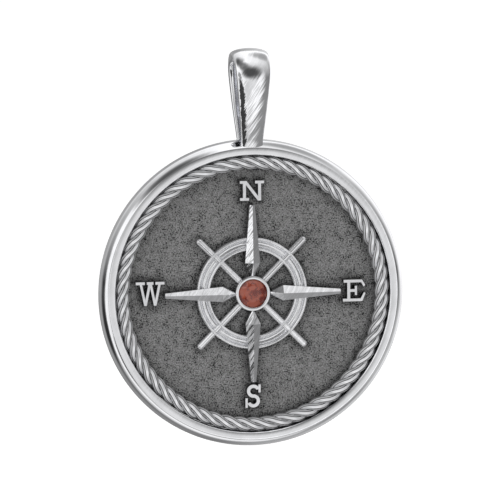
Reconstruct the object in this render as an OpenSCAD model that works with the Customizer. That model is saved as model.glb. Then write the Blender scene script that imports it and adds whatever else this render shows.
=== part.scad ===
// Compass medallion pendant with a tapered bail, in oxidised and polished silver.
// The disc hangs in the XZ plane with its front towards -Y and north towards +Z.
// The origin is the top inside of the bail, where the chain sits.

/* [Disc] */
// Outer diameter of the medallion
disc_d = 25; // [22:0.5:32]
// Thickness of the medallion, face to back
disc_t = 2.5; // [2.2:0.1:3.5]
// Radial width of the polished rim, from its inner wall to the outermost edge
rim_w = 1.23; // [1:0.05:2]
// How far the rounded outer edge of the rim bulges past its flat face
rim_bulge = 0.63; // [0.3:0.05:0.8]
// Small chamfer between the rim's face and its inner wall
rim_edge_break = 0.07; // [0.03:0.01:0.15]
// Depth of the dark field below the rim's face
field_depth = 1.15; // [0.9:0.05:1.4]

/* [Rope border] */
// Diameter of the twisted rope laid inside the rim
rope_d = 1.18; // [0.8:0.02:1.4]
// Whole turns that the rope makes round the medallion
rope_turns = 20; // [14:1:24]
// Diameter of one of its three strands
strand_d = 0.58; // [0.5:0.02:0.66]

/* [Ship's wheel] */
// Outer diameter of the wheel's ring
wheel_d = 9.08; // [8:0.1:10]
// Radial width of the wheel's ring
wheel_w = 1.05; // [0.8:0.05:1.4]
// Height of the ring's two lips above the field
wheel_h = 0.6; // [0.5:0.02:0.66]
// Width of each lip
wheel_lip_w = 0.23; // [0.18:0.01:0.3]
// How deep the channel between the lips is
wheel_channel_depth = 0.26; // [0.18:0.01:0.32]
// Diameter of the round spokes
spoke_d = 0.57; // [0.4:0.01:0.7]
// How far the spokes stay below the lips
spoke_below_lip = 0.09; // [0.04:0.01:0.15]
// Length of the spoke handles outside the ring
handle_len = 1.74; // [1:0.05:2.2]

/* [Needles] */
// Width of a needle at its shoulder
needle_w = 1.24; // [0.9:0.02:1.6]
// Width of a needle's blunt outer tip
needle_tip_w = 0.4; // [0.2:0.02:0.6]
// Height of the ridge above the field at the shoulder
needle_h = 1.15; // [0.95:0.05:1.5]
// Height of the ridge above the field at the outer tip
needle_tip_h = 0.95; // [0.7:0.05:1.2]
// Height of a needle's long side walls
needle_wall_h = 0.78; // [0.74:0.02:0.85]
// Length of the inner point, from the shoulder to the bezel
needle_nose = 1.05; // [0.7:0.05:1.4]
// Clear distance between a needle's tip and its letter
needle_letter_clear = 0.28; // [0.1:0.02:0.5]

/* [Letters] */
// Height of the capital letters
letter_h = 1.8; // [1.4:0.05:2.2]
// How far the letters stand out of the field
letter_relief = 0.6; // [0.3:0.05:0.8]
// Distance from the rope's inner edge to the middle of each letter
letter_inset = 1.69; // [1.5:0.05:2.4]
// Width of an upright stroke
stem_w = 0.28; // [0.2:0.01:0.36]
// Thickness of serifs and crossbars
serif_t = 0.26; // [0.18:0.01:0.32]

/* [Stone and bezel] */
// Diameter of the round cut stone
stone_d = 2.5; // [2:0.1:3]
// Height of the stone's crown above its girdle
crown_h = 0.33; // [0.25:0.01:0.5]
// Thickness of the stone's girdle
girdle_t = 0.05; // [0.03:0.01:0.1]
// Depth of the stone's pavilion below its girdle
pavilion_h = 0.95; // [0.8:0.05:1.2]
// How far the stone's point sinks below its place on top of the field
stone_sink = 0.42; // [0.3:0.02:0.6]
// Wall of the bezel round the stone
bezel_wall = 0.15; // [0.1:0.01:0.25]
// How far the bezel's lip reaches in over the stone
bezel_lip = 0.1; // [0.06:0.01:0.16]
// Thickness of the lip over the stone
bezel_lip_t = 0.14; // [0.1:0.01:0.2]

/* [Bail] */
// Height of the bail above the top of the medallion
bail_h = 7.4; // [6:0.1:10]
// Width of the bail's strap over the top
bail_top_w = 3.2; // [2.4:0.1:4]
// Width of the strap where it meets the rim
bail_foot_w = 1.78; // [1.2:0.02:2.2]
// Thickness of the domed strap at the middle of the top
bail_t = 0.85; // [0.6:0.05:1.1]
// Radius of the round top, inside
bail_inner_r = 1.65; // [1.3:0.05:2.2]
// Clear depth between the two legs at the medallion's top edge
bail_foot_gap = 1.8; // [0.8:0.05:2]

/* [Fit] */
// Clearance between neighbouring pieces
gap = 0.02; // [0.01:0.005:0.04]

/* [Hidden] */
$fn = 96;

SILVER = [0.83, 0.84, 0.86];
OXIDISED = [0.36, 0.36, 0.37];
GARNET = [0.58, 0.22, 0.17];

disc_r = disc_d / 2;
face_z = disc_t / 2;
field_z = face_z - field_depth;
relief_z = field_z + gap;
disc_drop = bail_h - bail_t + disc_r;
rim_inner_r = disc_r - rim_w;
bulge_r = (face_z * face_z + rim_bulge * rim_bulge) / (2 * rim_bulge);

rope_r = rim_inner_r - gap - rope_d / 2;
rope_inner_r = rope_r - rope_d / 2;
STRANDS = 3;
LOBE_POINTS = 4;
RINGS_PER_TURN = 12;
strand_orbit = (rope_d - strand_d) / 2;

wheel_r = wheel_d / 2;
wheel_hole_r = wheel_r - wheel_w;
spoke_z = wheel_h - spoke_below_lip - spoke_d / 2;

letter_r = rope_inner_r - letter_inset;
needle_reach = letter_r - letter_h / 2 - needle_letter_clear;

girdle_z = relief_z + gap + pavilion_h - stone_sink;
stone_r = stone_d / 2;
bezel_r = stone_r + gap + bezel_wall;
pavilion_slope = pavilion_h / stone_r;
// The stone's seat is one cone through the bezel and the back plate, and this is its point.
seat_tip_z = girdle_z - gap - (stone_r + gap) * pavilion_slope;
shoulder_r = bezel_r + gap + needle_nose;

// Everything on the medallion is drawn flat: x to the right, y towards north and z out of the face.
module on_disc() {
    translate([0, 0, -disc_drop]) rotate([90, 0, 0]) children();
}

// Triangles that skin a list of rings with the same number of points each.
// A closed sweep joins its last ring to its first, and an open one gets two end faces.
function skin(rings, sides, closed) = concat(
    [for (i = [0 : rings - (closed ? 1 : 2)], j = [0 : sides - 1], half = [0, 1])
        let (a = i * sides + j,
             b = i * sides + (j + 1) % sides,
             c = ((i + 1) % rings) * sides + (j + 1) % sides,
             d = ((i + 1) % rings) * sides + j)
        half == 0 ? [a, b, c] : [a, c, d]],
    closed ? [] : [[for (j = [sides - 1 : -1 : 0]) j],
                   [for (j = [0 : sides - 1]) (rings - 1) * sides + j]]);

// Medallion

// The plate has a conical pit in the middle for the point of the stone.
module back_plate() {
    pit_h = field_z + gap - seat_tip_z;
    color(OXIDISED) on_disc() difference() {
        translate([0, 0, -face_z]) cylinder(h = disc_t - field_depth, r = rim_inner_r - gap);
        translate([0, 0, seat_tip_z]) cylinder(h = pit_h, r1 = 0, r2 = pit_h / pavilion_slope);
    }
}

// Half section of the medallion's rounded outer edge, grown by a clearance.
module edge_section(inner_r, grow) {
    intersection() {
        translate([inner_r, -face_z - grow]) square([disc_r + grow - inner_r, disc_t + 2 * grow]);
        translate([disc_r - bulge_r, 0]) circle(r = bulge_r + grow);
    }
}

module rim() {
    color(SILVER) on_disc() rotate_extrude() difference() {
        edge_section(rim_inner_r, 0);
        polygon([[rim_inner_r - gap, face_z + gap],
                 [rim_inner_r + rim_edge_break + gap, face_z + gap],
                 [rim_inner_r - gap, face_z - rim_edge_break - gap]]);
    }
}

// Rope border

// Distance from the rope's axis to its skin, at an angle from the nearest strand's own axis.
function lobe(a) = strand_orbit * cos(a)
    + sqrt(max(0, pow(strand_d / 2, 2) - pow(strand_orbit * sin(a), 2)));

function lobe_angle(j) = (j % LOBE_POINTS) * 360 / STRANDS / LOBE_POINTS - 180 / STRANDS;

module rope_border() {
    sides = STRANDS * LOBE_POINTS;
    rings = rope_turns * RINGS_PER_TURN;
    rope_z = relief_z + rope_d / 2;
    valley = 180 / STRANDS;
    points = [for (i = [0 : rings - 1], j = [0 : sides - 1])
        let (way = i * 360 / rings,
             turn = valley * 2 * floor(j / LOBE_POINTS) + lobe_angle(j) + valley
                    + way * rope_turns,
             reach = lobe(lobe_angle(j)),
             r = rope_r + reach * cos(turn))
        [r * sin(way), r * cos(way), rope_z + reach * sin(turn)]];
    color(SILVER) on_disc() polyhedron(points, skin(rings, sides, true), convexity = 8);
}

// Ship's wheel

// Half section of the ring, grown by a clearance: a hollow channel between two lips with round tops.
module ring_section(grow) {
    channel_w = wheel_w - 2 * wheel_lip_w;
    channel_r = (wheel_channel_depth * wheel_channel_depth + channel_w * channel_w / 4)
                / (2 * wheel_channel_depth);
    lip_z = wheel_h - wheel_lip_w / 2;
    difference() {
        translate([wheel_hole_r - grow, -grow]) square([wheel_w + 2 * grow, lip_z + grow]);
        translate([wheel_r - wheel_w / 2, lip_z - wheel_channel_depth + channel_r])
            circle(r = channel_r - grow);
    }
    for (r = [wheel_hole_r + wheel_lip_w / 2, wheel_r - wheel_lip_w / 2])
        translate([r, lip_z]) circle(d = wheel_lip_w + 2 * grow);
}

// Half section of a rod of that length, with a round end.
module rod_section(length) {
    intersection() {
        union() {
            square([spoke_d / 2, length - spoke_d / 2]);
            translate([0, length - spoke_d / 2]) circle(d = spoke_d);
        }
        square([spoke_d / 2, length]);
    }
}

// A round spoke with a flat underside, which passes under both lips to its handle.
module spoke() {
    start_r = bezel_r + gap;
    end_r = wheel_r + handle_len;
    intersection() {
        translate([0, start_r, spoke_z]) rotate([-90, 0, 0])
            rotate_extrude() rod_section(end_r - start_r);
        translate([-spoke_d, start_r - gap, 0]) cube([2 * spoke_d, end_r, wheel_h]);
    }
}

module ships_wheel() {
    color(SILVER) on_disc() translate([0, 0, relief_z]) {
        rotate_extrude() ring_section(0);
        for (i = [0 : 3]) rotate([0, 0, 45 + 90 * i]) spoke();
    }
}

// Needles

// One needle that points north: side walls, a ridge along the top and a sloping inner point.
module needle_body() {
    half_tip = needle_tip_w / 2;
    half_w = needle_w / 2;
    nose_r = bezel_r + gap;
    outline = [[half_tip, needle_reach], [half_w, shoulder_r], [half_tip / 2, nose_r],
               [-half_tip / 2, nose_r], [-half_w, shoulder_r], [-half_tip, needle_reach]];
    tip_wall_h = needle_tip_h - (needle_h - needle_wall_h) * half_tip / half_w;
    wall_tops = [tip_wall_h, needle_wall_h, needle_wall_h, needle_wall_h, needle_wall_h, tip_wall_h];
    n = len(outline);
    points = concat([for (p = outline) [p[0], p[1], 0]],
                    [for (i = [0 : n - 1]) [outline[i][0], outline[i][1], wall_tops[i]]],
                    [[0, needle_reach, needle_tip_h], [0, shoulder_r, needle_h],
                     [0, nose_r, needle_wall_h + half_tip / 2]]);
    walls = [for (i = [0 : n - 1]) [i, (i + 1) % n, n + (i + 1) % n, n + i]];
    roof = [[6, 7, 13], [6, 13, 12], [7, 8, 14], [7, 14, 13], [8, 9, 14],
            [9, 10, 13], [9, 13, 14], [10, 11, 12], [10, 12, 13], [11, 6, 12]];
    polyhedron(points, concat([[5, 4, 3, 2, 1, 0]], walls, roof), convexity = 4);
}

// The needle is hollowed underneath to the ring's shape, so that it crosses over the wheel.
module needle(turn) {
    color(SILVER) on_disc() translate([0, 0, relief_z]) rotate([0, 0, -turn]) difference() {
        needle_body();
        rotate_extrude() ring_section(gap);
    }
}

module needle_north() needle(0);
module needle_east() needle(90);
module needle_south() needle(180);
module needle_west() needle(270);

// Letters

// The four capitals are drawn about their own middle, for a height of h.

// The outline runs round from the foot of the left stem.
module glyph_n(h) {
    top = 0.456 * h;
    left = -0.33 * h;
    right = 0.36 * h;
    serif = 0.215 * h;
    stem = stem_w / 2;
    slant = 0.62 * stem_w;
    steep = 2 * top / (right - left);
    polygon([[left - serif, -top], [left + serif, -top], [left + serif, serif_t - top],
             [left + stem, serif_t - top], [left + stem, top - (stem + slant) * steep],
             [right - slant, -top], [right + stem, -top], [right + stem, top - serif_t],
             [right + serif, top - serif_t], [right + serif, top], [right - serif, top],
             [right - serif, top - serif_t], [right - stem, top - serif_t],
             [right - stem, -top + (stem + slant) * steep], [left + slant, top],
             [left - serif, top], [left - serif, top - serif_t], [left - stem, top - serif_t],
             [left - stem, serif_t - top], [left - serif, serif_t - top]]);
}

// The left half's outline runs from the outer serif to the middle one, and the right half mirrors it.
module glyph_w(h) {
    top = 0.54 * h;
    foot = -0.55 * h;
    full = top - foot;
    below = top - serif_t;
    joint = 0.45 * h;
    vertex = 0.22 * h;
    stroke = 0.43 * stem_w;
    rise = (below - foot) / full;
    outer = -vertex - (joint - vertex) * rise;
    inner = -vertex * (1 - rise);
    left = [[0, foot + full * (1 - stroke / vertex)], [stroke - vertex, foot], [-stroke - vertex, foot],
            [outer - stroke, below], [-0.66 * h, below], [-0.66 * h, top], [-0.23 * h, top],
            [-0.23 * h, below], [outer + stroke, below],
            [-vertex - stroke + vertex * 2 * stroke / joint, foot + full * 2 * stroke / joint],
            [inner - stroke, below], [-0.16 * h, below], [-0.16 * h, top]];
    polygon(concat(left, [for (i = [len(left) - 1 : -1 : 1]) [-left[i][0], left[i][1]]]));
}

// The outline runs round from the top left corner.
module glyph_e(h) {
    top = 0.5 * h;
    stem = -0.25 * h;
    half = stem_w / 2;
    thick = serif_t / 2;
    tick_in = 0.02 * h;
    tick_out = 0.14 * h;
    tick = 0.22 * h;
    polygon([[-0.49 * h, top], [0.37 * h, top], [0.52 * h, 0.23 * h], [0.43 * h, 0.15 * h],
             [0.31 * h, top - serif_t], [stem + half, top - serif_t], [stem + half, thick],
             [tick_in, thick], [tick_in, tick], [tick_out, tick], [tick_out, -tick],
             [tick_in, -tick], [tick_in, -thick], [stem + half, -thick],
             [stem + half, serif_t - top], [0.3 * h, serif_t - top], [0.45 * h, -0.08 * h],
             [0.53 * h, -0.13 * h], [0.38 * h, -top], [-0.53 * h, -top],
             [-0.53 * h, serif_t - top], [stem - half, serif_t - top],
             [stem - half, top - serif_t], [-0.49 * h, top - serif_t]]);
}

module bar(x0, y0, x1, y1) {
    translate([x0, y0]) square([x1 - x0, y1 - y0]);
}

// A bowl is a part of a ring, from one angle on to another.
module bowl(y, outer_r, width, from, to) {
    STEPS = 6;
    far = 2 * outer_r;
    translate([0, y]) intersection() {
        difference() {
            circle(r = outer_r);
            circle(r = outer_r - width);
        }
        polygon(concat([[0, 0]], [for (i = [0 : STEPS])
            let (a = from + (to - from) * i / STEPS) [far * cos(a), far * sin(a)]]));
    }
}

module glyph_s(h) {
    bowl_r = 0.3 * h;
    lift = bowl_r - stem_w / 2;
    right = 0.335 * h;
    left = -0.37 * h;
    serif_w = 0.75 * serif_t;
    bowl(lift, bowl_r, stem_w, 20, 285);
    bowl(-lift, bowl_r, stem_w, -160, 105);
    bar(right - serif_w, lift - 0.07 * h, right, lift + 0.3 * h);
    bar(left, -lift - 0.31 * h, left + serif_w, -lift + 0.13 * h);
}

module raised_letter(turn) {
    color(SILVER) on_disc()
        translate([letter_r * sin(turn), letter_r * cos(turn), relief_z])
            linear_extrude(letter_relief) children();
}

module letter_n() raised_letter(0) translate([0, -0.02 * letter_h]) glyph_n(letter_h);
module letter_e() raised_letter(90) glyph_e(letter_h);
module letter_s() raised_letter(180) glyph_s(letter_h);
module letter_w() raised_letter(270) translate([0, 0.11 * letter_h]) glyph_w(letter_h);

// Stone and bezel

// A round brilliant: the angle and radius of each ring of corners, from the table to the culet.
// Heights are measured from the top of the girdle.
TABLE_SHARE = 0.56;
STAR_SHARE = 0.8;
HALF_SHARE = 0.3;
crown_slope = crown_h / (stone_r * (1 - TABLE_SHARE));
star_r = stone_r * STAR_SHARE;
star_z = (stone_r - star_r * cos(22.5)) * crown_slope;

module stone() {
    table_r = stone_r * TABLE_SHARE;
    half_r = stone_r * HALF_SHARE;
    half_z = -girdle_t - (stone_r - half_r * cos(22.5)) * pavilion_slope;
    points = concat(
        [for (i = [0 : 7]) [table_r * cos(45 * i), table_r * sin(45 * i), crown_h]],
        [for (i = [0 : 7]) [star_r * cos(45 * i + 22.5), star_r * sin(45 * i + 22.5), star_z]],
        [for (i = [0 : 15]) [stone_r * cos(22.5 * i), stone_r * sin(22.5 * i), 0]],
        [for (i = [0 : 15]) [stone_r * cos(22.5 * i), stone_r * sin(22.5 * i), -girdle_t]],
        [for (i = [0 : 7]) [half_r * cos(45 * i + 22.5), half_r * sin(45 * i + 22.5), half_z]],
        [[0, 0, -girdle_t - pavilion_h]]);
    star = 8;
    upper = 16;
    lower = 32;
    half = 48;
    culet = 56;
    table = [[for (i = [7 : -1 : 0]) i]];
    crown = [for (i = [0 : 7], f = [0 : 4]) let (
        next = (i + 1) % 8, before = (i + 7) % 8,
        g0 = upper + 2 * i, g1 = upper + (2 * i + 1) % 16, g2 = upper + (2 * i + 2) % 16)
        [[i, next, star + i],
         [i, star + i, g0],
         [i, g0, star + before],
         [star + i, g1, g0],
         [star + i, g2, g1]][f]];
    girdle = [for (i = [0 : 15], f = [0, 1])
        let (next = (i + 1) % 16)
        f == 0 ? [upper + i, upper + next, lower + next] : [upper + i, lower + next, lower + i]];
    pavilion = [for (i = [0 : 7], f = [0 : 3]) let (
        before = (i + 7) % 8,
        g0 = lower + 2 * i, g1 = lower + (2 * i + 1) % 16, g2 = lower + (2 * i + 2) % 16)
        [[half + i, g0, g1],
         [half + i, g1, g2],
         [culet, g0, half + i],
         [culet, half + before, g0]][f]];
    color(GARNET) on_disc() translate([0, 0, girdle_z + girdle_t])
        polyhedron(points, concat(table, crown, girdle, pavilion), convexity = 2);
}

// A wall with a conical seat under the stone and a thin lip over the edge of its crown.
module bezel() {
    lip_r = stone_r - bezel_lip;
    under_lip = girdle_z + girdle_t + gap + bezel_lip * star_z / (stone_r - star_r);
    top = under_lip + bezel_lip_t;
    soft = min(bezel_wall, bezel_lip_t) / 3;
    seat_r = (relief_z - seat_tip_z) / pavilion_slope;
    color(SILVER) on_disc() rotate_extrude() polygon([
        [bezel_r, relief_z], [bezel_r, top - soft], [bezel_r - soft, top],
        [lip_r + soft, top], [lip_r, top - soft], [lip_r, under_lip],
        [stone_r + gap, girdle_z + girdle_t + gap], [stone_r + gap, girdle_z - gap],
        [seat_r, relief_z]]);
}

// Bail

// The strap's inner face climbs one leg, goes round the top and comes down the other leg.
// Along the way, share runs from 0 at the front foot to 1 at the back foot.
LEG_STEPS = 12;
TOP_STEPS = 14;
STRAP_POINTS = 12;
leg_h = bail_h - bail_t - bail_inner_r;
foot_drop = rim_bulge + 2 * gap;
inner_foot = bail_foot_gap / 2;

// The leg curves in like a sine and runs on straight below the medallion's top edge.
function leg_depth(up) = inner_foot
    + (bail_inner_r - inner_foot) * (up > 0 ? sin(90 * up / leg_h) : PI / 2 * up / leg_h);

// Depth and height of the inner face, from the middle of the medallion's top edge, on the front leg.
function leg_point(i) =
    let (up = -foot_drop + (leg_h + foot_drop) * i / LEG_STEPS)
    [-leg_depth(up), up];
function top_point(i) =
    let (a = 180 - 180 * i / TOP_STEPS)
    [bail_inner_r * cos(a), leg_h + bail_inner_r * sin(a)];

strap_path = concat(
    [for (i = [0 : LEG_STEPS - 1]) leg_point(i)],
    [for (i = [0 : TOP_STEPS]) top_point(i)],
    [for (i = [LEG_STEPS - 1 : -1 : 0]) [-leg_point(i)[0], leg_point(i)[1]]]);

function strap_width(up) = bail_foot_w + (bail_top_w - bail_foot_w) * max(0, up) / bail_h;
function strap_t(up) = bail_t * strap_width(up) / bail_top_w;

// The strap is flat inside with round corners, and its outside is a dome.
STRAP_DOME = 0.58;
STRAP_CORNER = 0.14;

function strap_section(width, thick) =
    let (flat = 0.5 - STRAP_CORNER, wall = 1 - STRAP_DOME)
    concat(
        [[-flat * width, 0], [flat * width, 0],
         [(flat + STRAP_CORNER * sin(45)) * width, wall * (1 - cos(45)) * thick]],
        [for (k = [0 : STRAP_POINTS - 1])
            let (a = 180 * k / (STRAP_POINTS - 1))
            [width / 2 * cos(a), thick * (wall + STRAP_DOME * sin(a))]],
        [[-(flat + STRAP_CORNER * sin(45)) * width, wall * (1 - cos(45)) * thick]]);

module strap() {
    last = len(strap_path) - 1;
    sides = STRAP_POINTS + 4;
    points = [for (i = [0 : last])
        let (p = strap_path[i],
             ahead = strap_path[min(last, i + 1)] - strap_path[max(0, i - 1)],
             out = [-ahead[1], ahead[0]] / norm(ahead),
             section = strap_section(strap_width(p[1]), strap_t(p[1])))
        for (q = section) [q[0], p[0] + q[1] * out[0], p[1] + q[1] * out[1]]];
    polyhedron(points, skin(last + 1, sides, false), convexity = 6);
}

module bail() {
    color(SILVER) difference() {
        translate([0, 0, bail_t - bail_h]) strap();
        on_disc() rotate_extrude() edge_section(disc_r / 2, gap);
    }
}

back_plate();
rim();
rope_border();
ships_wheel();
needle_north();
needle_east();
needle_south();
needle_west();
letter_n();
letter_e();
letter_s();
letter_w();
bezel();
stone();
bail();
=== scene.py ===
# %% [markdown]
# # A compass medallion in silver
# This lesson dresses a small pendant: a round medallion with a dark field, a rope border,
# a ship's wheel, a compass rose, a red stone and a tapered bail.
# The measured solids come first, as a fixed frame, and every shape made here sits where they do.

# %% Load the frame
import math
import bmesh
import bpy
from mathutils import Matrix, Vector, noise
from mathutils.bvhtree import BVHTree


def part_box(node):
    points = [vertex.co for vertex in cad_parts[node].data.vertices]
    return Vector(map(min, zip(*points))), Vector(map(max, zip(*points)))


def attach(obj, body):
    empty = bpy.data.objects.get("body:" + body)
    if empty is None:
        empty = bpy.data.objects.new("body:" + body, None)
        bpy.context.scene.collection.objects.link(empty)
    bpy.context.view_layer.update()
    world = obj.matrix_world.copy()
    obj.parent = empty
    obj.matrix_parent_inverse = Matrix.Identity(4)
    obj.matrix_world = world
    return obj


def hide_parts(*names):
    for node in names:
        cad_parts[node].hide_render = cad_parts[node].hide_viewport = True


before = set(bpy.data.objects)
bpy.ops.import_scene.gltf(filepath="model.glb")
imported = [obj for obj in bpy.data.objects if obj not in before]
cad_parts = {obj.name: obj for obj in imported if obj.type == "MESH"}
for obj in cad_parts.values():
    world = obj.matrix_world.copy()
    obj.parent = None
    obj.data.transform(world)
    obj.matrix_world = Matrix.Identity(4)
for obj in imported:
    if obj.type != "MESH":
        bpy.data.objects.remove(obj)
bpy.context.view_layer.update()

# %% [markdown]
# ## The drawing board
# A goldsmith works the medallion flat on the bench, so it is drawn flat here too, in millimetres:
# x to the right, y towards north and z out of the face. One matrix then hangs the work from its bail.
# Blender could also hold each piece with an object transform, but a mesh that is already in place
# exports without surprises.

# %% Place on the medallion
MM = 0.001
PER_M = 1000.0
rim_low, rim_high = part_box("rim")
DISC_R = (rim_high.x - rim_low.x) / 2 / MM
DISC_DROP = -(rim_high.z + rim_low.z) / 2 / MM
DISC_R = round(DISC_R, 1)
DISC_DROP = round(DISC_DROP, 2)
FACE_Z = 1.25
FIELD_Z = 0.1
RELIEF_Z = 0.12
ON_DISC = (Matrix.Translation((0, 0, -DISC_DROP * MM)) @ Matrix.Rotation(math.radians(90), 4, "X")
           @ Matrix.Scale(MM, 4))
print("medallion radius", DISC_R, "mm, hung", DISC_DROP, "mm below the chain")


# %% Turn finished work into a piece
def piece(name, bm, material, replaces, place=ON_DISC, sharp=35):
    """Gives the mesh its place, its finish and its part in the frame."""
    bm.transform(place)
    mesh = bpy.data.meshes.new(name)
    bm.to_mesh(mesh)
    bm.free()
    made = bpy.data.objects.new(name, mesh)
    bpy.context.scene.collection.objects.link(made)
    mesh.materials.append(material)
    mesh.shade_smooth()
    mesh.set_sharp_from_angle(angle=math.radians(sharp))
    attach(made, "root")
    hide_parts(*replaces)
    print(name, "has", len(mesh.polygons), "faces")
    return made


# %% [markdown]
# ## Shared surface effects
# Cast silver is never one even colour. Four effects come back on several pieces, so each is a node
# group that is built once: fine polishing scratches, the slanting streaks that a polishing wheel leaves
# (their colour on the raised work is partly a faint painted reflection), the dark patina in the recesses
# together with painted shade there, and the mottled grain of an oxidised surface. Painted textures could
# do the same, but nodes that read the place of a point need no unwrapping and work at any size.

# %% Node helpers
def add_node(tree, kind, inputs=None, **settings):
    """A node with its settings made and its inputs filled or wired."""
    made = tree.nodes.new(kind)
    for name, value in settings.items():
        setattr(made, name, value)
    for name, value in (inputs or {}).items():
        if isinstance(value, bpy.types.NodeSocket):
            tree.links.new(value, made.inputs[name])
        else:
            made.inputs[name].default_value = value
    return made


def new_group(name, inputs, outputs):
    """An empty node group with named inputs and outputs."""
    group = bpy.data.node_groups.new(name, "ShaderNodeTree")
    for label, kind, value in inputs:
        socket = group.interface.new_socket(label, in_out="INPUT", socket_type=kind)
        if value is not None:
            socket.default_value = value
    for label, kind in outputs:
        group.interface.new_socket(label, in_out="OUTPUT", socket_type=kind)
    return group, group.nodes.new("NodeGroupInput").outputs, group.nodes.new("NodeGroupOutput").inputs


FLOAT, VECTOR = "NodeSocketFloat", "NodeSocketVector"


def smooth_step(tree, value, low, high):
    """0 below low, 1 above high, and a soft change between."""
    return add_node(tree, "ShaderNodeMapRange", {"Value": value, "From Min": low, "From Max": high},
                    interpolation_type="SMOOTHSTEP").outputs["Result"]


def math_node(tree, operation, a, b=0.0):
    return add_node(tree, "ShaderNodeMath", {0: a, 1: b}, operation=operation).outputs[0]


# %% Group: polishing scratches
scratches, s_in, s_out = new_group(
    "polishing_scratches",
    [("Vector", VECTOR, None), ("Scale", FLOAT, 3000.0), ("Stretch", VECTOR, (1.0, 1.0, 1.0))],
    [("Height", FLOAT), ("Streak", FLOAT)])
stretched = add_node(scratches, "ShaderNodeVectorMath", {0: s_in["Vector"], 1: s_in["Stretch"]},
                     operation="MULTIPLY").outputs[0]
fine = add_node(scratches, "ShaderNodeTexNoise",
                {"Vector": stretched, "Scale": s_in["Scale"], "Detail": 3.0, "Roughness": 0.6})
wide = add_node(scratches, "ShaderNodeTexNoise",
                {"Vector": stretched, "Scale": math_node(scratches, "MULTIPLY", s_in["Scale"], 0.17),
                 "Detail": 2.0, "Roughness": 0.5})
scratches.links.new(fine.outputs["Fac"], s_out["Height"])
scratches.links.new(smooth_step(scratches, wide.outputs["Fac"], 0.35, 0.65), s_out["Streak"])
print("made", scratches.name)

# %% Group: wheel streaks
STREAK_SLANT = math.radians(57)
streaks, t_in, t_out = new_group(
    "wheel_streaks", [("Vector", VECTOR, None), ("Scale", FLOAT, 4000.0)],
    [("Height", FLOAT), ("Streak", FLOAT)])
slanted = add_node(streaks, "ShaderNodeVectorRotate",
                   {"Vector": t_in["Vector"], "Angle": STREAK_SLANT}, rotation_type="Y_AXIS").outputs[0]
drawn_out = add_node(streaks, "ShaderNodeVectorMath", {0: slanted, 1: (0.1, 0.35, 1.0)},
                     operation="MULTIPLY").outputs[0]
stroke = add_node(streaks, "ShaderNodeTexNoise",
                  {"Vector": drawn_out, "Scale": t_in["Scale"], "Detail": 2.0,
                   "Roughness": 0.45}).outputs["Fac"]
streaks.links.new(stroke, t_out["Height"])
streaks.links.new(smooth_step(streaks, stroke, 0.38, 0.62), t_out["Streak"])
print("made", streaks.name)

# %% Group: patina and painted shade in the recesses
# The mask is dark low down or deep in: partly patina, partly painted shade.
patina_and_shade, p_in, p_out = new_group(
    "recess_patina_and_shade",
    [("Vector", VECTOR, None), ("Depth", FLOAT, 0.0), ("Dark below", FLOAT, 0.0),
     ("Bright above", FLOAT, 1.0)],
    [("Mask", FLOAT)])
stain = add_node(patina_and_shade, "ShaderNodeTexNoise",
                 {"Vector": p_in["Vector"], "Scale": 5200.0, "Detail": 3.0, "Roughness": 0.6})
wobble = math_node(patina_and_shade, "MULTIPLY",
                   math_node(patina_and_shade, "SUBTRACT", stain.outputs["Fac"], 0.5),
                   math_node(patina_and_shade, "SUBTRACT", p_in["Bright above"], p_in["Dark below"]))
level = math_node(patina_and_shade, "ADD", p_in["Depth"], wobble)
clean = smooth_step(patina_and_shade, level, p_in["Dark below"], p_in["Bright above"])
patina_and_shade.links.new(math_node(patina_and_shade, "SUBTRACT", 1.0, clean), p_out["Mask"])
print("made", patina_and_shade.name)

# %% Group: oxidised grain
grain, g_in, g_out = new_group(
    "oxidised_grain", [("Vector", VECTOR, None), ("Scale", FLOAT, 9000.0), ("Crowding", FLOAT, 0.0)],
    [("Fleck", FLOAT), ("Cloud", FLOAT), ("Height", FLOAT)])
speck = add_node(grain, "ShaderNodeTexNoise",
                 {"Vector": g_in["Vector"], "Scale": g_in["Scale"], "Detail": 2.0, "Roughness": 0.6})
cloud = add_node(grain, "ShaderNodeTexNoise",
                 {"Vector": g_in["Vector"], "Scale": math_node(grain, "MULTIPLY", g_in["Scale"], 0.2),
                  "Detail": 3.0, "Roughness": 0.65})
gathered = math_node(grain, "MULTIPLY", math_node(grain, "SUBTRACT", cloud.outputs["Fac"], 0.5), 0.5)
clustered = math_node(grain, "ADD", speck.outputs["Fac"], gathered)
plain = smooth_step(grain, math_node(grain, "SUBTRACT", clustered, g_in["Crowding"]), 0.33, 0.45)
grain.links.new(math_node(grain, "SUBTRACT", 1.0, plain), g_out["Fleck"])
grain.links.new(cloud.outputs["Fac"], g_out["Cloud"])
grain.links.new(speck.outputs["Fac"], g_out["Height"])
print("made", grain.name)


# %% [markdown]
# ## Finishes
# The rim, the bail and the bezel are mirror-polished. The raised work is bright on top and painted dark
# low
# down: partly the blackening bath that was not polished away, partly painted shade. The field keeps the
# bath's matte grey black.
# Each finish is a Principled shader, because that one shader covers metal and stone alike.

# %% Material start
def new_material(name):
    """A material with its node tree, its shader and the place of the point."""
    made = bpy.data.materials.new(name)
    made.use_nodes = True
    tree = made.node_tree
    shader = tree.nodes["Principled BSDF"]
    place = tree.nodes.new("ShaderNodeTexCoord").outputs["Object"]
    return made, tree, shader, place


def use_group(tree, group, inputs):
    return add_node(tree, "ShaderNodeGroup", inputs, node_tree=group).outputs


def mix_color(tree, factor, a, b):
    return add_node(tree, "ShaderNodeMix", {"Factor": factor, 6: a, 7: b}, data_type="RGBA").outputs[2]


def mix_float(tree, factor, a, b):
    return add_node(tree, "ShaderNodeMix", {"Factor": factor, 2: a, 3: b}, data_type="FLOAT").outputs[0]


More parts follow.
